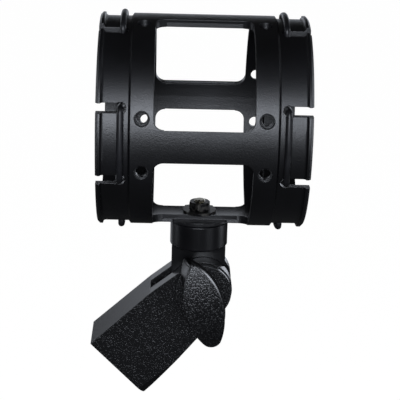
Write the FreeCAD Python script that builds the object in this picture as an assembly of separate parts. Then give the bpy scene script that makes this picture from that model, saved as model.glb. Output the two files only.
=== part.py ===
import FreeCAD, Part
import math
import os

# A shock mount that hangs a microphone in rubber bands inside a moulded cage.
# Lengths are in millimetres and angles in degrees. The origin is the centre of
# the cage, +X runs along the microphone, -Y faces the clamp knob and +Z is up.

# Cage: one moulding, two band rings joined by four bars, with a slotted collar
# at each end that the rubber bands hook into.
cage_diameter = 75.0
cage_length = 72.8
cage_wall = 2.8
collar_length = 11.65
window_corner_radius = 3.6
bar_half_angle = 8.6
bar_step_depth = 0.45
band_width = 7.75
collar_drop = 1.0
collar_wall = 2.5
collar_bevel = 0.7
lip_width = 1.6
lip_rise = 1.2
lip_foot_radius = 1.6
lip_bevel = 0.8
hole_diameter = 3.8
hole_recess_diameter = 5.1
hole_recess_depth = 1.2
hole_offset = 9.3
slot_width = 3.2
slot_offset = 12.4
keyhole_diameter = 3.9
keyhole_from_band = 3.35
pad_diameter = 22.5
pad_thickness = 1.4
pad_spotface = 0.45

# Rubber bands.
cord_diameter = 2.3
cord_seat_gap = 0.05
cord_bend_radius = 1.6
cord_crossing_gap = 0.2
cord_sidestep_length = 8.0

# Fastening of the cage on the neck.
stud_diameter = 4.0
stud_end_above_nut = 0.8
stud_depth_in_neck = 7.0
lock_nut_across_flats = 7.0
lock_nut_height = 3.0
lock_nut_bevel = 0.5
bar_washer_diameter = 12.0
bar_washer_thickness = 1.0

# Neck: a round collar under the cage and a flat tongue between the ears.
neck_diameter = 21.0
neck_collar_height = 9.85
neck_bevel = 0.8
neck_lower_bevel = 0.5
tongue_width = 19.7
tongue_thickness = 6.4
pivot_offset = 1.9
pivot_drop = 24.85

# Clamp joint: screw, captive nut and washers on the tilt axis.
clamp_screw_diameter = 5.0
clamp_nut_across_flats = 8.0
clamp_nut_height = 4.0
clamp_nut_floor = 1.3
friction_washer_diameter = 16.0
friction_washer_thickness = 0.5
knob_washer_diameter = 12.0
knob_washer_thickness = 1.0

# Stand adapter: a clevis that leans down to one side of the cage.
adapter_lean = 45.0
adapter_length = 44.5
ear_radius = 10.6
front_ear_thickness = 5.2
back_ear_thickness = 5.6
ear_straight = 13.0
fork_depth = 15.0
upper_face_at_fork = 12.4
upper_face_at_end = 13.6
lower_face_at_fork = 12.6
lower_face_at_end = 15.2
end_half_thickness = 10.4
lower_edge_radius = 4.2

# Threaded insert for a 5/8 inch stand, 27 threads to the inch.
thread_minor_diameter = 14.86
insert_diameter = 18.0
insert_length = 18.0
insert_flange_diameter = 19.0
insert_flange_thickness = 1.2
relief_diameter = 16.6
relief_length = 4.0

# Wing knob: a round foot that flares into a leaf-shaped grip.
knob_foot_diameter = 20.5
knob_foot_thickness = 2.0
knob_height = 18.3
knob_face_radius = 75.0
knob_grip_half_width = 6.9
knob_grip_top_side_radius = 24.0
knob_grip_top_tip_radius = 1.5
knob_grip_bottom_side_radius = 26.5
knob_grip_bottom_tip_radius = 3.6
knob_grip_rim = 3.6
knob_grip_lean = 14.5
knob_root_half_width = 6.3
knob_root_share = 0.94
knob_root_lean = 27.5
knob_waist_half_width = 5.7
knob_waist_share = 0.94
screw_grip_in_knob = 9.0

# Clearances.
running_clearance = 0.08
face_gap = 0.05

# Worked out once from the sizes above.
cage_radius = cage_diameter / 2
cage_inner_radius = cage_radius - cage_wall
half_length = cage_length / 2
window_half = half_length - collar_length - band_width
band_edge = window_half + band_width
band_middle = window_half + band_width / 2
collar_radius = cage_radius - collar_drop
collar_inner_radius = collar_radius - collar_wall
keyhole_x = band_edge + keyhole_from_band
pad_bottom = -(cage_radius - pad_spotface)
pad_top = -cage_inner_radius
pivot_z = pad_bottom - pivot_drop
tongue_bottom = pad_bottom - neck_collar_height
fork_gap = tongue_thickness + 2 * friction_washer_thickness + 2 * face_gap
fork_half = fork_gap / 2
front_face_y = -(fork_half + front_ear_thickness)
back_face_y = fork_half + back_ear_thickness
knob_back_y = front_face_y - knob_washer_thickness - face_gap
x_axis = FreeCAD.Vector(1, 0, 0)
y_axis = FreeCAD.Vector(0, 1, 0)
z_axis = FreeCAD.Vector(0, 0, 1)
origin = FreeCAD.Vector(0, 0, 0)
bar_angles = [0, 90, 180, 270]


def vec(x, y, z):
    return FreeCAD.Vector(x, y, z)


def cylinder(radius, length, base, direction):
    return Part.makeCylinder(radius, length, base, direction)


def turned(shape, angle, axis=x_axis, centre=origin):
    copy = shape.copy()
    copy.rotate(centre, axis, angle)
    return copy


def polygon_face(points):
    return Part.Face(Part.makePolygon(points + [points[0]]))


def hexagon(across_flats, height, base, direction, clock=0):
    """A hexagonal prism that stands on base and runs along direction."""
    corner = across_flats / math.sqrt(3)
    points = []
    for i in range(6):
        turn = math.radians(60 * i + clock)
        points.append(vec(corner * math.cos(turn), corner * math.sin(turn), 0))
    prism = polygon_face(points).extrude(vec(0, 0, height))
    prism.Placement = FreeCAD.Placement(base, FreeCAD.Rotation(z_axis, direction))
    return prism


def cage_rings():
    """The whole tube of the cage, revolved about the microphone axis."""
    step = band_edge
    profile = [
        vec(0, cage_inner_radius, 0),
        vec(0, cage_radius, 0),
        vec(step, cage_radius, 0),
        vec(step + collar_bevel, collar_radius, 0),
        vec(half_length - lip_width, collar_radius, 0),
        vec(half_length - lip_width, collar_radius + lip_rise, 0),
        vec(half_length - lip_bevel, collar_radius + lip_rise, 0),
        vec(half_length, collar_radius + lip_rise - lip_bevel, 0),
        vec(half_length, collar_inner_radius, 0),
        vec(step, collar_inner_radius, 0),
        vec(step - collar_bevel, cage_inner_radius, 0),
    ]
    half = polygon_face(profile).revolve(origin, x_axis, 360)
    foot = [edge for edge in half.Edges if abs(edge.BoundBox.XMin - (half_length - lip_width)) < 0.001]
    foot = [edge for edge in foot if abs(edge.BoundBox.ZMax - collar_radius) < 0.001 and edge.BoundBox.XLength < 0.001]
    half = half.makeFillet(min(lip_foot_radius, lip_rise - 0.1), foot)
    other = half.mirror(origin, x_axis)
    return half.fuse(other).removeSplitter()


def window_cutter():
    """A wedge with rounded corners that opens the wall between two bars."""
    reach = cage_radius + 5
    spread = math.tan(math.radians(45 - bar_half_angle))
    inside = cage_inner_radius * 0.5
    points = [
        vec(-window_half, -inside * spread, inside),
        vec(-window_half, -reach * spread, reach),
        vec(-window_half, reach * spread, reach),
        vec(-window_half, inside * spread, inside),
    ]
    wedge = polygon_face(points).extrude(vec(2 * window_half, 0, 0))
    corners = []
    for edge in wedge.Edges:
        middle = edge.valueAt((edge.FirstParameter + edge.LastParameter) / 2)
        slanted = abs(abs(middle.y) - middle.z * spread) < 0.01
        if slanted and abs(abs(middle.x) - window_half) < 0.01 and inside < middle.z < reach - 0.01:
            corners.append(edge)
    return turned(wedge.makeFillet(window_corner_radius, corners), 45)


def slot_cutter(side):
    """An open slot with a round keyhole at its inner end, beside a bar at +Z."""
    y = side * slot_offset
    length = half_length - keyhole_x + 1
    box = Part.makeBox(length, slot_width, cage_radius, vec(keyhole_x, y - slot_width / 2, cage_inner_radius / 2))
    keyhole = cylinder(keyhole_diameter / 2, cage_radius, vec(keyhole_x, y, cage_inner_radius / 2), z_axis)
    return box.fuse(keyhole)


def hole_cutter(side):
    """A recessed round hole through the band, beside a bar at +Z."""
    y = side * hole_offset
    surface = math.sqrt(cage_radius ** 2 - hole_offset ** 2)
    hole = cylinder(hole_diameter / 2, cage_radius, vec(band_middle, y, cage_inner_radius / 2), z_axis)
    recess = cylinder(hole_recess_diameter / 2, cage_radius, vec(band_middle, y, surface - hole_recess_depth), z_axis)
    return hole.fuse(recess)


def bar_step_cutters():
    """Strips that thin the inner half of the bars' sides and leave a step on them."""
    middle = cage_radius - cage_wall / 2
    half = middle * math.sin(math.radians(bar_half_angle))
    length = 2 * window_half - 2 * window_corner_radius
    floor = cage_inner_radius / 2
    return [
        Part.makeBox(length, 5, middle - floor, vec(-length / 2, y, floor))
        for y in (half - bar_step_depth, bar_step_depth - half - 5)
    ]


def cage_frame():
    windows = [turned(window_cutter(), angle) for angle in bar_angles]
    pad = cylinder(pad_diameter / 2, pad_thickness, vec(0, 0, pad_bottom), z_axis)
    body = cage_rings().cut(windows[0].fuse(windows[1:])).fuse(pad)
    underside = cylinder(pad_diameter / 2, 5, vec(0, 0, pad_bottom - 5), z_axis)
    seat = cylinder(bar_washer_diameter / 2 + 0.3, 5, vec(0, 0, pad_top), z_axis)
    stud_hole = cylinder(stud_diameter / 2 + running_clearance, cage_wall + 2, vec(0, 0, pad_bottom - 1), z_axis)
    cutters = [underside, seat, stud_hole]
    for angle in bar_angles:
        for side in (-1, 1):
            for end in (0, 180):
                cutters.append(turned(turned(hole_cutter(side), angle), end, z_axis))
                cutters.append(turned(turned(slot_cutter(side), angle), end, z_axis))
        cutters += [turned(strip, angle) for strip in bar_step_cutters()]
    return body.cut(cutters[0].fuse(cutters[1:]))


def strand_sweep(start_x, crossing_x, y, half_height):
    """A strand inside the cage that steps sideways to pass the other band."""
    step = (crossing_x - start_x) / 2
    quarter = cord_sidestep_length / 2
    bend = (quarter ** 2 + step ** 2) / (2 * step)
    swing = math.asin(quarter / abs(bend)) / 2
    lean_x = abs(bend) * (1 - math.cos(swing)) * (1 if step > 0 else -1)
    lean_z = abs(bend) * math.sin(swing)
    low = half_height - cord_sidestep_length

    def side(sign):
        ends = [
            vec(start_x, y, sign * half_height),
            vec(start_x + lean_x, y, sign * (half_height - lean_z)),
            vec(start_x + step, y, sign * (half_height - quarter)),
            vec(crossing_x - lean_x, y, sign * (low + lean_z)),
            vec(crossing_x, y, sign * low),
        ]
        return Part.Arc(*ends[:3]).toShape(), Part.Arc(*ends[2:]).toShape()

    upper, lower = side(1), side(-1)
    run = Part.makeLine(vec(crossing_x, y, low), vec(crossing_x, y, -low))
    path = Part.Wire([*upper, run, lower[1], lower[0]])
    ring = Part.Wire(Part.makeCircle(cord_diameter / 2, vec(start_x, y, half_height), z_axis))
    return path.makePipeShell([ring], True, False)


def cord_arc(x, y, z, centre, angle):
    """A round section at (x, y, z) turned about an axis along X through centre."""
    ring = Part.Wire(Part.makeCircle(cord_diameter / 2, vec(x, y, z), vec(0, z - centre.z, centre.y - y)))
    return Part.Face(ring).revolve(centre, x_axis, angle)


def rubber_band(end, crossing_side):
    """One closed band over the top and bottom tabs of one end of the cage.

    end is +1 or -1 for the end of the cage. crossing_side shifts the strands
    outwards or inwards where they pass the strands of the other band.
    """
    x = end * keyhole_x
    seat_radius = collar_radius + cord_diameter / 2 + cord_seat_gap
    bend_y = slot_offset - cord_bend_radius
    bend_z = math.sqrt((seat_radius - cord_bend_radius) ** 2 - bend_y ** 2)
    bend_angle = math.degrees(math.asin(bend_y / (seat_radius - cord_bend_radius)))
    crossing_x = x + crossing_side * end * (cord_diameter + cord_crossing_gap) / 2
    pieces = [strand_sweep(x, crossing_x, side * slot_offset, bend_z) for side in (-1, 1)]
    for flip in (0, 180):
        arc_y = -seat_radius * math.sin(math.radians(bend_angle))
        arc_z = seat_radius * math.cos(math.radians(bend_angle))
        over = cord_arc(x, arc_y, arc_z, origin, -2 * bend_angle)
        pieces.append(turned(over, flip))
        for side in (-1, 1):
            centre = vec(x, side * bend_y, bend_z)
            bend = cord_arc(x, side * slot_offset, bend_z, centre, side * (90 - bend_angle))
            pieces.append(turned(bend, flip))
    return pieces[0].fuse(pieces[1:]).removeSplitter()


def bar_washer():
    disc = cylinder(bar_washer_diameter / 2, bar_washer_thickness, vec(0, 0, pad_top), z_axis)
    hole = cylinder(stud_diameter / 2 + running_clearance, cage_wall, vec(0, 0, pad_top - 1), z_axis)
    return disc.cut(hole)


def bevelled_nut(across_flats, height, bevel, bore_radius, base, direction, clock=0):
    """A hexagon nut whose corners are turned off at both faces."""
    corner = across_flats / math.sqrt(3)
    blank = hexagon(across_flats, height, base, direction, clock)
    turning = cylinder(corner + 0.01, height, base, direction)
    turning = turning.makeChamfer(bevel, [turning.Edges[0], turning.Edges[2]])
    bore = cylinder(bore_radius, height + 2, base - direction, direction)
    return blank.common(turning).cut(bore)


def lock_nut():
    base = vec(0, 0, pad_top + bar_washer_thickness)
    radius = stud_diameter / 2
    return bevelled_nut(lock_nut_across_flats, lock_nut_height, lock_nut_bevel, radius, base, z_axis, 20)


def stud_top():
    return pad_top + bar_washer_thickness + lock_nut_height + stud_end_above_nut


def stud_head(clearance):
    """The hexagon head that the neck moulding holds captive."""
    base = vec(0, 0, pad_bottom - stud_depth_in_neck - clearance)
    return hexagon(lock_nut_across_flats + 2 * clearance, lock_nut_height + 2 * clearance, base, z_axis)


def neck_stud():
    bottom = pad_bottom - stud_depth_in_neck
    rod = cylinder(stud_diameter / 2, stud_top() - bottom, vec(0, 0, bottom), z_axis)
    tip = rod.Edges[0] if rod.Edges[0].BoundBox.ZMax > 0.5 * (stud_top() + bottom) else rod.Edges[2]
    return rod.makeChamfer(0.5, [tip]).fuse(stud_head(0))


def neck_stem():
    collar = cylinder(neck_diameter / 2, neck_collar_height, vec(0, 0, tongue_bottom), z_axis)
    upper = [edge for edge in collar.Edges if edge.BoundBox.ZMin > pad_bottom - 0.1]
    collar = collar.makeChamfer(neck_bevel, upper)
    lower = [edge for edge in collar.Edges if edge.BoundBox.ZMax < tongue_bottom + 0.1]
    collar = collar.makeChamfer(neck_lower_bevel, lower)
    half = tongue_width / 2
    round_end = cylinder(half, tongue_thickness, vec(0, -tongue_thickness / 2, pivot_z), y_axis)
    strip = Part.makeBox(
        tongue_width, tongue_thickness, tongue_bottom - pivot_z, vec(-half, -tongue_thickness / 2, pivot_z)
    )
    body = collar.fuse([round_end, strip]).removeSplitter()
    screw_hole = cylinder(
        clamp_screw_diameter / 2 + running_clearance, tongue_thickness + 2,
        vec(pivot_offset, -tongue_thickness / 2 - 1, pivot_z), y_axis,
    )
    body = body.cut(screw_hole)
    shaft = cylinder(stud_diameter / 2, stud_depth_in_neck, vec(0, 0, pad_bottom - stud_depth_in_neck), z_axis)
    return body.cut(shaft.fuse(stud_head(0)))


def adapter_point(s, n, y=0):
    """A point s along the adapter's axis from the pivot and n up from that axis."""
    lean = math.radians(adapter_lean)
    x = pivot_offset - s * math.cos(lean) - n * math.sin(lean)
    z = pivot_z - s * math.sin(lean) + n * math.cos(lean)
    return vec(x, y, z)


def adapter_direction():
    return adapter_point(1, 0) - adapter_point(0, 0)


def adapter_profile():
    """The side view of the adapter, round at the ears and wider at the thread."""
    start = -12
    depth = end_half_thickness - start
    block = polygon_face([
        adapter_point(0, ear_radius, start),
        adapter_point(fork_depth, upper_face_at_fork, start),
        adapter_point(adapter_length, upper_face_at_end, start),
        adapter_point(adapter_length, -lower_face_at_end, start),
        adapter_point(fork_depth, -lower_face_at_fork, start),
        adapter_point(0, -ear_radius, start),
    ]).extrude(vec(0, depth, 0))
    head = cylinder(ear_radius, depth, adapter_point(0, 0, start), y_axis)
    return block.fuse(head).removeSplitter()


def adapter_plan():
    """The view from above, straight at the ears and flared towards the thread."""
    low = -(ear_radius + 5)
    outline = polygon_face([
        adapter_point(low, -20, front_face_y),
        adapter_point(ear_straight, -20, front_face_y),
        adapter_point(adapter_length, -20, -end_half_thickness),
        adapter_point(adapter_length, -20, end_half_thickness),
        adapter_point(ear_straight, -20, back_face_y),
        adapter_point(low, -20, back_face_y),
    ])
    return outline.extrude(adapter_point(0, 40) - adapter_point(0, 0))


def adapter_section():
    """The view along the axis: rounded lower edges that fade out towards the ears."""
    outline = polygon_face([
        adapter_point(adapter_length, -lower_face_at_end, -end_half_thickness),
        adapter_point(adapter_length, 20, -end_half_thickness),
        adapter_point(adapter_length, 20, end_half_thickness),
        adapter_point(adapter_length, -lower_face_at_end, end_half_thickness),
    ])
    length = adapter_length + 2 * ear_radius
    bar = outline.extrude(adapter_point(-length, 0) - adapter_point(0, 0))
    corners = []
    for edge in bar.Edges:
        middle = edge.valueAt((edge.FirstParameter + edge.LastParameter) / 2) - adapter_point(0, 0)
        below = middle.dot(adapter_point(0, -1) - adapter_point(0, 0)) > lower_face_at_end - 0.01
        if below and edge.Length > length - 0.01:
            corners.append(edge)
    return bar.makeFillet(lower_edge_radius, corners)


def stand_adapter():
    body = adapter_profile().common(adapter_plan()).common(adapter_section())
    direction = adapter_direction()
    fork = Part.makeBox(fork_depth + 20, fork_gap, 50, vec(-20, -fork_half, -25))
    fork.Placement = FreeCAD.Placement(
        adapter_point(0, 0), FreeCAD.Rotation(vec(0, 1, 0), 180 - adapter_lean)
    )
    mouth = adapter_point(adapter_length, insert_centre())
    pocket = cylinder(insert_diameter / 2, insert_length, mouth, -direction)
    flange = cylinder(insert_flange_diameter / 2, insert_flange_thickness, mouth, -direction)
    relief = cylinder(relief_diameter / 2, insert_length + relief_length, mouth, -direction)
    screw_hole = cylinder(
        clamp_screw_diameter / 2 + running_clearance, 60, adapter_point(0, 0, -30), y_axis
    )
    nut_pocket = hexagon(clamp_nut_across_flats, 20, adapter_point(0, 0, fork_half + clamp_nut_floor), y_axis)
    return body.cut(fork.fuse([pocket, flange, relief, screw_hole, nut_pocket]))


def insert_centre():
    return (upper_face_at_end - lower_face_at_end) / 2


def thread_insert():
    direction = adapter_direction()
    mouth = adapter_point(adapter_length, insert_centre())
    body = cylinder(insert_diameter / 2, insert_length, mouth, -direction)
    flange = cylinder(insert_flange_diameter / 2, insert_flange_thickness, mouth, -direction)
    bore = cylinder(thread_minor_diameter / 2, insert_length + 2, mouth + direction, -direction)
    return body.fuse(flange).cut(bore)


def clamp_nut():
    base = adapter_point(0, 0, fork_half + clamp_nut_floor)
    bore = clamp_screw_diameter / 2 + running_clearance
    return bevelled_nut(clamp_nut_across_flats, clamp_nut_height, lock_nut_bevel, bore, base, y_axis)


def ring_on_pivot(diameter, thickness, y):
    disc = cylinder(diameter / 2, thickness, adapter_point(0, 0, y), y_axis)
    hole = cylinder(clamp_screw_diameter / 2 + running_clearance, thickness + 2, adapter_point(0, 0, y - 1), y_axis)
    return disc.cut(hole)


def leaf_wire(y, half_width, share, lean):
    """A leaf outline of six arcs across the knob, pointed above and round below."""
    edges = []
    turn = math.radians(lean)
    for sign, side, tip_radius in (
        (1, knob_grip_top_side_radius * share, knob_grip_top_tip_radius * share),
        (-1, knob_grip_bottom_side_radius * share, knob_grip_bottom_tip_radius * share),
    ):
        reach = side - half_width
        offset = math.sqrt((side - tip_radius) ** 2 - reach ** 2)
        away = math.atan2(offset, reach)

        def leaning(across, along):
            x = across * math.cos(turn) - along * math.sin(turn)
            z = across * math.sin(turn) + along * math.cos(turn)
            return adapter_point(0, 0, y) + vec(x, 0, z)

        def on_side(angle, hand):
            return leaning(hand * (side * math.cos(angle) - reach), sign * side * math.sin(angle))

        for hand in (1, -1):
            arc = Part.Arc(on_side(0, hand), on_side(away / 2, hand), on_side(away, hand))
            edges.append(arc.toShape())
        crown = leaning(0, sign * (offset + tip_radius))
        edges.append(Part.Arc(on_side(away, 1), crown, on_side(away, -1)).toShape())
    return Part.Wire(Part.__sortEdges__(edges))


def wing_knob():
    grip_front = knob_back_y - knob_height
    rim_back = grip_front + knob_grip_rim
    foot_front = knob_back_y - knob_foot_thickness
    waist_y = (foot_front + rim_back) / 2
    middle_lean = (knob_root_lean + knob_grip_lean) / 2
    sections = [
        leaf_wire(foot_front + 0.3, knob_root_half_width, knob_root_share, knob_root_lean),
        leaf_wire(waist_y, knob_waist_half_width, knob_waist_share, middle_lean),
        leaf_wire(rim_back, knob_grip_half_width, 1.0, knob_grip_lean),
    ]
    flank = Part.makeLoft(sections, True, False)
    face = leaf_wire(grip_front, knob_grip_half_width, 1.0, knob_grip_lean)
    rim = Part.Face(face).extrude(vec(0, knob_grip_rim, 0))
    across = vec(math.cos(math.radians(knob_grip_lean)), 0, math.sin(math.radians(knob_grip_lean)))
    dome_axis = adapter_point(0, 0, grip_front + knob_face_radius) - across * knob_height
    rim = rim.common(cylinder(knob_face_radius, 2 * knob_height, dome_axis, across))
    foot = cylinder(knob_foot_diameter / 2, knob_foot_thickness, adapter_point(0, 0, foot_front), y_axis)
    screw_hole = cylinder(
        clamp_screw_diameter / 2, screw_grip_in_knob, adapter_point(0, 0, knob_back_y - screw_grip_in_knob), y_axis
    )
    return flank.fuse([rim, foot]).cut(screw_hole)


def clamp_screw():
    front = knob_back_y - screw_grip_in_knob
    back = fork_half + clamp_nut_floor + clamp_nut_height + 0.5
    return cylinder(clamp_screw_diameter / 2, back - front, adapter_point(0, 0, front), y_axis)


def parts():
    nodes = {"cage_frame": cage_frame()}
    for end, end_name in ((-1, "left"), (1, "right")):
        nodes[end_name + "_vertical_band"] = rubber_band(end, 1)
        nodes[end_name + "_horizontal_band"] = turned(rubber_band(end, -1), 90)
    nodes["bar_washer"] = bar_washer()
    nodes["lock_nut"] = lock_nut()
    nodes["neck_stud"] = neck_stud()
    nodes["neck_stem"] = neck_stem()
    nodes["stand_adapter"] = stand_adapter()
    nodes["thread_insert"] = thread_insert()
    nodes["clamp_nut"] = clamp_nut()
    thickness = friction_washer_thickness
    nodes["front_friction_washer"] = ring_on_pivot(friction_washer_diameter, thickness, -fork_half)
    nodes["back_friction_washer"] = ring_on_pivot(friction_washer_diameter, thickness, fork_half - thickness)
    washer_y = front_face_y - knob_washer_thickness
    nodes["knob_washer"] = ring_on_pivot(knob_washer_diameter, knob_washer_thickness, washer_y)
    nodes["wing_knob"] = wing_knob()
    nodes["clamp_screw"] = clamp_screw()
    return nodes


os.makedirs("parts", exist_ok=True)
for name, shape in parts().items():
    print(name, "solids", len(shape.Solids), "volume", round(shape.Volume, 1), "valid", shape.isValid())
    shape.exportStep(os.path.join("parts", name + ".step"))
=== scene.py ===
# %% [markdown]
# # A microphone shock mount
# The real thing is a black moulded cage that hangs a microphone in rubber bands,
# on a short neck that tilts in a stand adapter. The solid pieces come in as a
# fixed frame, already at their real size and place. This lesson gives them their
# finishes and adds what is too fine for the solids, such as threads.

# %%
import bpy
import math
from mathutils import Euler, Matrix, Vector


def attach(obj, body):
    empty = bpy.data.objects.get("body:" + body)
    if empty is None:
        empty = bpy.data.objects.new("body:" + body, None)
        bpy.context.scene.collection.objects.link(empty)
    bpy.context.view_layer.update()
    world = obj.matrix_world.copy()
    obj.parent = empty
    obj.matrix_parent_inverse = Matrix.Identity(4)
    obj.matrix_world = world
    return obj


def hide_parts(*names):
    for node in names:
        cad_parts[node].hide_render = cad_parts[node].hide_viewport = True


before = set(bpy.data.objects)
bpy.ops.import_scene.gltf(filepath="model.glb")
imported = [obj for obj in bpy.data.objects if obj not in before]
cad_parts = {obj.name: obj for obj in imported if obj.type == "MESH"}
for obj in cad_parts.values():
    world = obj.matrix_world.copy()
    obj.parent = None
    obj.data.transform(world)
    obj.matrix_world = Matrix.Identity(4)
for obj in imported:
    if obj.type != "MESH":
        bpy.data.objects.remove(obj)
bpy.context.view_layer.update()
MM = 0.001
print("nodes:", ", ".join(sorted(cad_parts)))

# %% [markdown]
# ## The camera
# The photo was taken with a long lens from a little above and slightly to the
# left. The angles and the distance come from the ellipses of the cage's rings,
# whose flattening gives the height and whose shrinking gives the distance. The
# photo is also turned by a degree and a half, so the camera rolls by as much.

# %%
view_height = math.radians(18.15)
view_side = math.radians(-1.47)
view_roll = math.radians(1.61)
view_distance = 493.7 * MM
aim_across = 0.10 * MM
aim_up = -28.82 * MM

camera_data = bpy.data.cameras.new("photo_camera")
camera_data.lens = 123.89
camera_data.sensor_width = 36.0
camera_data.clip_start = 0.01
camera = bpy.data.objects.new("photo_camera", camera_data)
bpy.context.scene.collection.objects.link(camera)
turn = Euler((math.radians(90) - view_height, 0, view_side)).to_matrix()
place = turn @ Vector((aim_across, aim_up, view_distance))
roll = Matrix.Rotation(view_roll, 3, "Z")
camera.matrix_world = Matrix.Translation(place) @ (turn @ roll).to_4x4()
bpy.context.scene.camera = camera
bpy.context.scene.view_settings.view_transform = "Standard"
print("camera at", [round(value, 4) for value in place])

# %% [markdown]
# ## The helpers for finishes
# A finish is a small tree of nodes. Colours are picked as sRGB hex values, the
# way a paint chart gives them, and turned to linear light by one function. One
# more function adds a node with its settings and its links, so that each finish
# below reads as a recipe.

# %%
def paint(hex_value):
    """The linear colour of an sRGB hex value such as 1A1A1C."""
    channels = [int(hex_value[i:i + 2], 16) / 255 for i in (0, 2, 4)]
    linear = [c / 12.92 if c <= 0.04045 else ((c + 0.055) / 1.055) ** 2.4 for c in channels]
    return (*linear, 1.0)


def add_node(material, kind, settings=None, links=None):
    """Adds a node, sets its properties or inputs, and links inputs to sockets."""
    node = material.node_tree.nodes.new(kind)
    for name, value in (settings or {}).items():
        if isinstance(name, str) and hasattr(node, name):
            setattr(node, name, value)
        else:
            node.inputs[name].default_value = value
    for name, socket in (links or {}).items():
        material.node_tree.links.new(socket, node.inputs[name])
    return node


def new_finish(name, settings):
    """A material with one shader, whose constant values are set on its sockets."""
    material = bpy.data.materials.new(name)
    material.use_nodes = True
    shader = material.node_tree.nodes["Principled BSDF"]
    for key, value in settings.items():
        shader.inputs[key].default_value = value
    coordinates = add_node(material, "ShaderNodeTexCoord")
    return material, shader, coordinates.outputs["Object"]


def per_metre(size_mm):
    """The texture scale at which one cell is size_mm across."""
    return 1000.0 / size_mm


print("black of the cage:", [round(value, 4) for value in paint("17171A")])

# %% [markdown]
# ## Moulded ABS, fine spark finish
# The cage is black ABS from a mould whose steel was spark eroded. That leaves a
# fine even grain, about a third of a millimetre across, which turns the plastic's
# gloss into a soft grey sheen along every curved wall. The neck comes from a
# smoother mould, so its sheen is narrow and its front stays nearly black. One
# recipe makes both: a noise of the grain's size drives the bump, and a slow noise
# varies colour and roughness a little, as handling does.

# %%
edge_round_mm = 0.35


def moulded_abs(name, roughness, grain_mm, grain_depth_mm):
    material, shader, where = new_finish(name, {"IOR": 1.52, "Specular IOR Level": 0.45})
    cloud = add_node(
        material, "ShaderNodeTexNoise", {"Scale": per_metre(22), "Detail": 3.0}, {"Vector": where}
    )
    tint = add_node(material, "ShaderNodeValToRGB", links={"Fac": cloud.outputs["Fac"]})
    tint.color_ramp.elements[0].position = 0.35
    tint.color_ramp.elements[0].color = paint("040405")
    tint.color_ramp.elements[1].position = 0.7
    tint.color_ramp.elements[1].color = paint("09090C")
    gloss = add_node(
        material, "ShaderNodeMapRange",
        {"From Min": 0.3, "From Max": 0.7, "To Min": roughness - 0.03, "To Max": roughness + 0.03},
        {"Value": cloud.outputs["Fac"]},
    )
    grain = add_node(
        material, "ShaderNodeTexNoise", {"Scale": per_metre(grain_mm), "Detail": 2.0},
        {"Vector": where}
    )
    edges = add_node(material, "ShaderNodeBevel", {"samples": 6, "Radius": edge_round_mm * MM})
    bump = add_node(
        material, "ShaderNodeBump", {"Strength": 0.6, "Distance": grain_depth_mm * MM},
        {"Height": grain.outputs["Fac"], "Normal": edges.outputs["Normal"]},
    )
    tree = material.node_tree.links
    tree.new(tint.outputs["Color"], shader.inputs["Base Color"])
    tree.new(gloss.outputs["Result"], shader.inputs["Roughness"])
    tree.new(bump.outputs["Normal"], shader.inputs["Normal"])
    return material


abs_fine = moulded_abs("abs_fine_grain", 0.39, 0.38, 0.11)
abs_smooth = moulded_abs("abs_smooth", 0.3, 0.3, 0.02)
print("made", abs_fine.name, abs_smooth.name)

# %% [markdown]
# ## Moulded ABS, coarse etched finish
# The adapter and the face of the knob have the coarse etch that hides
# fingerprints. Its pits are about half a millimetre across with sharp little
# crests, and each crest catches a point of light, which reads as a sparkle. Cells
# from a Voronoi texture give the crests and a noise breaks up their rows. Only the
# front and back are etched. The side walls slide along the steel when the part
# leaves the mould, so they are left plain, and a mask from the surface's own
# direction fades the etch out there. Fingers rub the knob's crests, which shine
# more than the adapter's.

# %%
def coarse_etched_abs(name, crest_start, crest_roughness, crest_gloss):
    material, shader, where = new_finish(name, {"IOR": 1.52})
    pits = add_node(
        material, "ShaderNodeTexVoronoi", {"Scale": per_metre(0.7), "Randomness": 1.0},
        {"Vector": where}
    )
    grit = add_node(
        material, "ShaderNodeTexNoise", {"Scale": per_metre(0.5), "Detail": 2.0}, {"Vector": where}
    )
    facing = add_node(
        material, "ShaderNodeSeparateXYZ",
        links={0: material.node_tree.nodes["Texture Coordinate"].outputs["Normal"]},
    )
    front_or_back = add_node(
        material, "ShaderNodeMath", {"operation": "ABSOLUTE"}, {0: facing.outputs["Y"]}
    )
    etched = add_node(
        material, "ShaderNodeMapRange",
        {"From Min": 0.6, "From Max": 0.85, "To Min": 0.0, "To Max": 1.0},
        {"Value": front_or_back.outputs["Value"]},
    )
    crests = add_node(
        material, "ShaderNodeMapRange", {"From Min": crest_start, "From Max": 0.7},
        {"Value": grit.outputs["Fac"], "To Max": etched.outputs["Result"]},
    )
    relief = add_node(
        material, "ShaderNodeMath", {"operation": "MULTIPLY_ADD", 1: 0.5},
        {0: pits.outputs["Distance"], 2: crests.outputs["Result"]},
    )
    edges = add_node(material, "ShaderNodeBevel", {"samples": 6, "Radius": edge_round_mm * MM})
    bump = add_node(
        material, "ShaderNodeBump", {"Distance": 0.04 * MM},
        {
            "Strength": etched.outputs["Result"],
            "Height": relief.outputs["Value"],
            "Normal": edges.outputs["Normal"],
        },
    )
    # The crests' base colour is lifted from 040405 to 0C0C0E: a painted glint that stands in for
    # their sparkle.
    tint = add_node(material, "ShaderNodeValToRGB", links={"Fac": crests.outputs["Result"]})
    tint.color_ramp.elements[0].color = paint("040405")
    tint.color_ramp.elements[1].color = paint("0C0C0E")
    gloss = add_node(
        material, "ShaderNodeMapRange", {"To Min": 0.3, "To Max": crest_roughness},
        {"Value": crests.outputs["Result"]}
    )
    glint = add_node(
        material, "ShaderNodeMapRange", {"To Min": 0.45, "To Max": crest_gloss},
        {"Value": crests.outputs["Result"]}
    )
    tree = material.node_tree.links
    tree.new(tint.outputs["Color"], shader.inputs["Base Color"])
    tree.new(glint.outputs["Result"], shader.inputs["Specular IOR Level"])
    tree.new(gloss.outputs["Result"], shader.inputs["Roughness"])
    tree.new(bump.outputs["Normal"], shader.inputs["Normal"])
    return material


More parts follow.
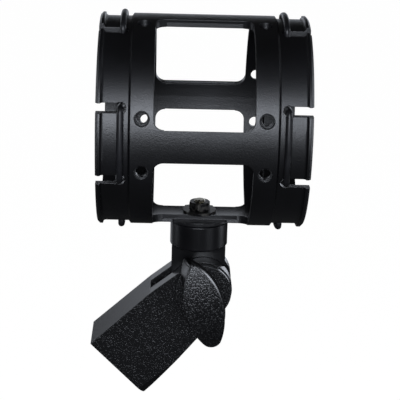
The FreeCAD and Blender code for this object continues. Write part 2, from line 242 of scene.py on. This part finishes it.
abs_coarse = coarse_etched_abs("abs_coarse_etch", 0.55, 0.33, 0.58)
abs_crested = coarse_etched_abs("abs_coarse_etch_crested", 0.5, 0.42, 1.0)
print("made", abs_coarse.name, abs_crested.name)

# %% [markdown]
# ## Rubber
# The bands are extruded black rubber cord with a smooth, slightly waxy skin. The
# washers are stamped from duller sheet. One recipe serves both, with its own
# roughness and a faint bloom that lightens it in patches.

# %%
def black_rubber(name, roughness, dark, bloom):
    material, shader, where = new_finish(name, {"IOR": 1.5, "Specular IOR Level": 0.35})
    patches = add_node(
        material, "ShaderNodeTexNoise", {"Scale": per_metre(6), "Detail": 4.0}, {"Vector": where}
    )
    tint = add_node(material, "ShaderNodeValToRGB", links={"Fac": patches.outputs["Fac"]})
    tint.color_ramp.elements[0].position = 0.4
    tint.color_ramp.elements[0].color = paint(dark)
    tint.color_ramp.elements[1].position = 0.8
    tint.color_ramp.elements[1].color = paint(bloom)
    gloss = add_node(
        material, "ShaderNodeMapRange",
        {"From Min": 0.3, "From Max": 0.7, "To Min": roughness - 0.06, "To Max": roughness + 0.06},
        {"Value": patches.outputs["Fac"]},
    )
    skin = add_node(material, "ShaderNodeTexNoise", {"Scale": per_metre(0.25)}, {"Vector": where})
    bump = add_node(
        material, "ShaderNodeBump", {"Strength": 0.2, "Distance": 0.03 * MM},
        {"Height": skin.outputs["Fac"]}
    )
    tree = material.node_tree.links
    tree.new(tint.outputs["Color"], shader.inputs["Base Color"])
    tree.new(gloss.outputs["Result"], shader.inputs["Roughness"])
    tree.new(bump.outputs["Normal"], shader.inputs["Normal"])
    return material


cord_rubber = black_rubber("rubber_cord", 0.42, "0F0F11", "1A1A1D")
washer_rubber = black_rubber("rubber_sheet", 0.7, "171718", "232324")
print("made", cord_rubber.name, washer_rubber.name)

# %% [markdown]
# ## Steel and brass
# The nut and its washer are blackened steel, whose oxide shows bright metal where
# a spanner has rubbed it. The stud and the clamp screw are zinc plated, and the
# stand insert is turned brass. All three are metals with fine turning marks, so
# one recipe takes the colours, the gloss and the spacing of the marks.

# %%
def turned_metal(name, dark, light, roughness, mark_mm):
    material, shader, where = new_finish(name, {"Metallic": 1.0})
    patches = add_node(
        material, "ShaderNodeTexNoise", {"Scale": per_metre(1.6), "Detail": 3.0}, {"Vector": where}
    )
    tint = add_node(material, "ShaderNodeValToRGB", links={"Fac": patches.outputs["Fac"]})
    tint.color_ramp.elements[0].position = 0.4
    tint.color_ramp.elements[0].color = paint(dark)
    tint.color_ramp.elements[1].position = 0.65
    tint.color_ramp.elements[1].color = paint(light)
    gloss = add_node(
        material, "ShaderNodeMapRange",
        {"From Min": 0.3, "From Max": 0.7, "To Min": roughness - 0.08, "To Max": roughness + 0.08},
        {"Value": patches.outputs["Fac"]},
    )
    marks = add_node(
        material, "ShaderNodeTexNoise", {"Scale": per_metre(mark_mm), "Detail": 2.0},
        {"Vector": where}
    )
    bump = add_node(
        material, "ShaderNodeBump", {"Strength": 0.25, "Distance": 0.005 * MM},
        {"Height": marks.outputs["Fac"]}
    )
    tree = material.node_tree.links
    tree.new(tint.outputs["Color"], shader.inputs["Base Color"])
    tree.new(gloss.outputs["Result"], shader.inputs["Roughness"])
    tree.new(bump.outputs["Normal"], shader.inputs["Normal"])
    return material


black_steel = turned_metal("steel_blackened", "1C1C1E", "5A5854", 0.38, 0.3)
zinc_steel = turned_metal("steel_zinc_plated", "9C9788", "C9C4B4", 0.28, 0.25)
brass = turned_metal("brass_turned", "A98A4E", "D0B272", 0.3, 0.25)
print("made", black_steel.name, zinc_steel.name, brass.name)

# %% [markdown]
# ## Giving each solid its finish
# Each piece of the frame is already an object of its own, so its finish goes
# straight into its material slot.

# %%
finishes = {
    "cage_frame": abs_fine,
    "left_vertical_band": cord_rubber,
    "left_horizontal_band": cord_rubber,
    "right_vertical_band": cord_rubber,
    "right_horizontal_band": cord_rubber,
    "bar_washer": black_steel,
    "lock_nut": black_steel,
    "neck_stem": abs_smooth,
    "stand_adapter": abs_coarse,
    "clamp_nut": zinc_steel,
    "front_friction_washer": washer_rubber,
    "back_friction_washer": washer_rubber,
    "knob_washer": black_steel,
    "wing_knob": abs_crested,
}
for node, finish in finishes.items():
    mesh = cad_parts[node].data
    mesh.materials.clear()
    mesh.materials.append(finish)
print("finished", len(finishes), "nodes")

# %% [markdown]
# ## Cutting threads
# A screw thread is too fine for the solids, so the three threaded pieces are
# modelled here and stand for the plain ones. A real thread is cut by a tool with a
# 60 degree point that follows a helix, and the same is done here: a three-sided
# outline is swept by the screw modifier, its two ends are closed, and the boolean
# modifier takes it away from the blank. The pitch of each thread is its standard
# one, and the point's depth comes from the pitch.

# %%
thread_steps = 48
turned_sides = 96
point_width_share = 0.97
outer_depth_share = 0.6134
tip_chamfer = 0.5


def blank(name, radius_mm, bottom_mm, top_mm, sides=turned_sides):
    """A plain bar along Z between two heights."""
    bpy.ops.object.select_all(action="DESELECT")
    bpy.ops.mesh.primitive_cylinder_add(
        vertices=sides, radius=radius_mm * MM, depth=(top_mm - bottom_mm) * MM,
        location=(0, 0, 0.5 * (bottom_mm + top_mm) * MM),
    )
    bpy.ops.object.transform_apply(location=True, rotation=True, scale=True)
    bpy.context.object.name = name
    return bpy.context.object


def combine(piece, tool, operation):
    """Joins a tool's shape to the piece or takes it away, and deletes the tool."""
    change = piece.modifiers.new("change", "BOOLEAN")
    change.operation = operation
    change.solver = "EXACT"
    change.object = tool
    bpy.context.view_layer.objects.active = piece
    bpy.ops.object.modifier_apply(modifier=change.name)
    bpy.data.objects.remove(tool)


def thread_tool(point_radius_mm, pitch_mm, bottom_mm, turns, inward):
    """The helix that a 60 degree point sweeps. It starts at bottom_mm."""
    bpy.ops.object.select_all(action="DESELECT")
    corner_radius = point_width_share * pitch_mm / math.sqrt(3)
    side = -1 if inward else 1
    bpy.ops.mesh.primitive_circle_add(vertices=3, radius=corner_radius * MM)
    tool = bpy.context.object
    tool.rotation_euler = (math.radians(90), side * math.radians(90), 0)
    tool.location = ((point_radius_mm - side * corner_radius) * MM, 0, bottom_mm * MM)
    bpy.ops.object.transform_apply(location=True, rotation=True, scale=True)
    sweep = tool.modifiers.new("sweep", "SCREW")
    sweep.axis = "Z"
    sweep.angle = math.radians(360)
    sweep.screw_offset = pitch_mm * MM
    sweep.iterations = turns
    sweep.steps = thread_steps
    sweep.render_steps = thread_steps
    bpy.ops.object.modifier_apply(modifier=sweep.name)
    bpy.ops.object.mode_set(mode="EDIT")
    bpy.ops.mesh.select_all(action="SELECT")
    bpy.ops.mesh.fill_holes(sides=3)
    bpy.ops.mesh.select_all(action="SELECT")
    bpy.ops.mesh.normals_make_consistent(inside=False)
    bpy.ops.object.mode_set(mode="OBJECT")
    return tool


def chamfer_top(piece, top_mm, width_mm):
    """Bevels the round edge at the top of a bar."""
    bpy.ops.object.mode_set(mode="EDIT")
    bpy.ops.mesh.select_mode(type="EDGE")
    bpy.ops.mesh.select_all(action="DESELECT")
    bpy.ops.object.mode_set(mode="OBJECT")
    for edge in piece.data.edges:
        heights = [piece.data.vertices[i].co.z for i in edge.vertices]
        edge.select = min(heights) > (top_mm - 0.01) * MM
    bpy.ops.object.mode_set(mode="EDIT")
    bpy.ops.mesh.bevel(offset=width_mm * MM, segments=1)
    bpy.ops.object.mode_set(mode="OBJECT")


def place_piece(piece, turn, place_mm):
    """Turns and moves the finished shape, and leaves its object at the origin."""
    piece.rotation_euler = turn
    piece.location = Vector(place_mm) * MM
    bpy.ops.object.select_all(action="DESELECT")
    piece.select_set(True)
    bpy.context.view_layer.objects.active = piece
    bpy.ops.object.transform_apply(location=True, rotation=True, scale=True)
    bpy.ops.object.shade_smooth_by_angle(angle=math.radians(30))
    print(piece.name, "has", len(piece.data.polygons), "faces")


print("thread tools ready,", thread_steps, "steps to the turn")

# %% [markdown]
# ## The stand insert
# A brass insert is pressed into the adapter's end. It has the thread of a
# microphone stand, 5/8 inch with 27 turns to the inch, which is cut right through
# it. The blank is a tube with a thin flange at its mouth. The bore has the
# thread's small diameter, and the point reaches the large one.

# %%
insert_radius = 9.0
insert_length = 18.0
flange_radius = 9.5
flange_thickness = 1.2
stand_bore_radius = 7.43
stand_thread_radius = 7.9375
stand_pitch = 25.4 / 27
insert_mouth = (-29.0006, 0, -93.932)

insert = blank("stand_insert_threaded", insert_radius, -insert_length, 0)
combine(insert, blank("flange", flange_radius, -flange_thickness, 0), "UNION")
combine(insert, blank("bore", stand_bore_radius, -insert_length - 1, 1), "DIFFERENCE")
turns = math.ceil(insert_length / stand_pitch) + 2
tap = thread_tool(stand_thread_radius, stand_pitch, -insert_length - stand_pitch, turns, False)
combine(insert, tap, "DIFFERENCE")
place_piece(insert, (0, math.radians(-135), 0), insert_mouth)
insert.data.materials.append(brass)
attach(insert, "adapter")
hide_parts("thread_insert")

# %% [markdown]
# ## The neck's stud
# An M4 bolt is moulded into the neck with its six-sided head buried, and its
# threaded end comes up through the cage's bottom bar and the nut. The thread
# has a pitch of 0.7 mm and runs from the tip down to the neck. The tip is
# chamfered first, as on a real bolt, so the thread fades out on the slope.

# %%
stud_radius = 2.0
stud_bottom = -44.05
stud_top = -29.9
stud_thread_start = -36.8
stud_pitch = 0.7
head_across_flats = 7.0
head_height = 3.0

stud = blank("neck_stud_threaded", stud_radius, stud_bottom, stud_top)
chamfer_top(stud, stud_top, tip_chamfer)
head = blank("head", head_across_flats / math.sqrt(3), stud_bottom, stud_bottom + head_height, 6)
head.rotation_euler = (0, 0, math.radians(30))
bpy.ops.object.transform_apply(location=True, rotation=True, scale=True)
combine(stud, head, "UNION")
depth = outer_depth_share * stud_pitch
turns = math.ceil((stud_top - stud_thread_start) / stud_pitch) + 1
die = thread_tool(stud_radius - depth, stud_pitch, stud_thread_start, turns, True)
combine(stud, die, "DIFFERENCE")
place_piece(stud, (0, 0, 0), (0, 0, 0))
stud.data.materials.append(zinc_steel)
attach(stud, "neck")
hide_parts("neck_stud")

# %% [markdown]
# ## The clamp screw
# The knob is moulded round one end of an M5 screw, and the other end draws up the
# nut in the back ear. Only the last stretch is threaded, with a pitch of 0.8 mm.

# %%
clamp_radius = 2.5
clamp_front = -19.0
clamp_back = 9.55
clamp_thread_length = 9.0
clamp_pitch = 0.8
pivot = (1.9, 0, -61.9)

clamp = blank("clamp_screw_threaded", clamp_radius, clamp_front, clamp_back)
chamfer_top(clamp, clamp_back, tip_chamfer)
depth = outer_depth_share * clamp_pitch
turns = math.ceil(clamp_thread_length / clamp_pitch) + 1
die = thread_tool(
    clamp_radius - depth, clamp_pitch, clamp_back - clamp_thread_length, turns, True
)
combine(clamp, die, "DIFFERENCE")
place_piece(clamp, (math.radians(-90), 0, 0), pivot)
clamp.data.materials.append(zinc_steel)
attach(clamp, "knob")
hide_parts("clamp_screw")

# %% [markdown]
# ## The studio
# The photo is a catalogue cut-out on white. A pale floor lies well below the
# part, which a stand would hold in the air, and floor and world are white to the
# camera. Gloss and glass see them too, but dimly, because black plastic under a
# fully white room would turn grey.

# %%
floor_height = -0.45
background_in_gloss = 0.02
room_light = 0.01


def show_background(owner, plain, white):
    """Mixes two shaders so that the camera sees white and gloss sees some of it."""
    path = add_node(owner, "ShaderNodeLightPath")
    gloss = add_node(
        owner, "ShaderNodeMath",
        {"operation": "MULTIPLY_ADD", "use_clamp": True, 1: background_in_gloss},
        {0: path.outputs["Is Glossy Ray"], 2: path.outputs["Is Camera Ray"]},
    )
    through = add_node(
        owner, "ShaderNodeMath", {"operation": "MAXIMUM"},
        {0: gloss.outputs["Value"], 1: path.outputs["Is Transmission Ray"]},
    )
    mix = add_node(
        owner, "ShaderNodeMixShader", links={0: through.outputs["Value"], 1: plain, 2: white}
    )
    return mix.outputs["Shader"]


bpy.ops.object.select_all(action="DESELECT")
bpy.ops.mesh.primitive_plane_add(size=6.0, location=(0, 0, floor_height))
floor = bpy.context.object
floor.name = "floor"
floor_finish, floor_shader = new_finish(
    "floor_pale_paper", {"Base Color": paint("2A2A2A"), "Roughness": 0.9}
)[:2]
shadowed = add_node(floor_finish, "ShaderNodeAddShader")
shadow_share = add_node(
    floor_finish, "ShaderNodeEmission", {"Color": paint("FFFFFF"), "Strength": 0.99}
)
floor_finish.node_tree.links.new(floor_shader.outputs["BSDF"], shadowed.inputs[0])
floor_finish.node_tree.links.new(shadow_share.outputs["Emission"], shadowed.inputs[1])
floor_out = floor_finish.node_tree.nodes["Material Output"]
floor_seen = show_background(floor_finish, floor_shader.outputs["BSDF"], shadowed.outputs["Shader"])
floor_finish.node_tree.links.new(floor_seen, floor_out.inputs["Surface"])
floor.data.materials.append(floor_finish)

world = bpy.data.worlds.new("white_studio")
world.use_nodes = True
dim = world.node_tree.nodes["Background"]
dim.inputs["Color"].default_value = paint("FFFFFF")
dim.inputs["Strength"].default_value = room_light
bright = world.node_tree.nodes.new("ShaderNodeBackground")
bright.inputs["Color"].default_value = paint("FFFFFF")
world_seen = show_background(world, dim.outputs["Background"], bright.outputs["Background"])
world.node_tree.links.new(world_seen, world.node_tree.nodes["World Output"].inputs["Surface"])
bpy.context.scene.world = world
print("floor at", floor_height, "m")

# %% [markdown]
# ## The lamps
# The brightest line on each round wall of the photo is where the wall faces the
# camera, so the key is a soft lamp in the camera's own direction, some way behind
# it. The top faces and the adapter's upper face are grey although the walls below
# them are nearly black. They mirror what lies low behind the part, so a wide lamp
# stands there like a lit backdrop, and two small low ones light the knob's flanks.
# A low lamp on each side draws the bright rims of the neck and of the knob. A weak
# one in front and to the right gives the neck its soft stripe.

# %%
def soft_lamp(name, place_mm, width_mm, height_mm, watts):
    """A rectangular area lamp that points at the middle of the part."""
    data = bpy.data.lights.new(name, "AREA")
    data.shape = "RECTANGLE"
    data.size = width_mm * MM
    data.size_y = height_mm * MM
    data.energy = watts
    data.color = paint("EEF4FF")[:3]
    lamp = bpy.data.objects.new(name, data)
    bpy.context.scene.collection.objects.link(lamp)
    spot = Vector(place_mm) * MM
    lamp.location = spot
    lamp.rotation_euler = (Vector((0, 0, -0.03)) - spot).to_track_quat("-Z", "Y").to_euler()
    return lamp


soft_lamp("key_lamp", (-60, -1000, 330), 500, 500, 12.5)
soft_lamp("backdrop_lamp", (-100, 700, 70), 1000, 220, 0.8)
soft_lamp("low_left_lamp", (-400, 650, -280), 260, 200, 0.12)
soft_lamp("low_right_lamp", (250, 650, -90), 320, 220, 0.45)
soft_lamp("left_side_lamp", (-850, 150, 70), 300, 700, 1.9)
soft_lamp("right_side_lamp", (850, 150, 70), 300, 700, 3.4)
soft_lamp("front_fill_lamp", (470, -520, -80), 300, 300, 0.5)

# %% [markdown]
# ## The end
# A last line marks the end of the script.


print("done")
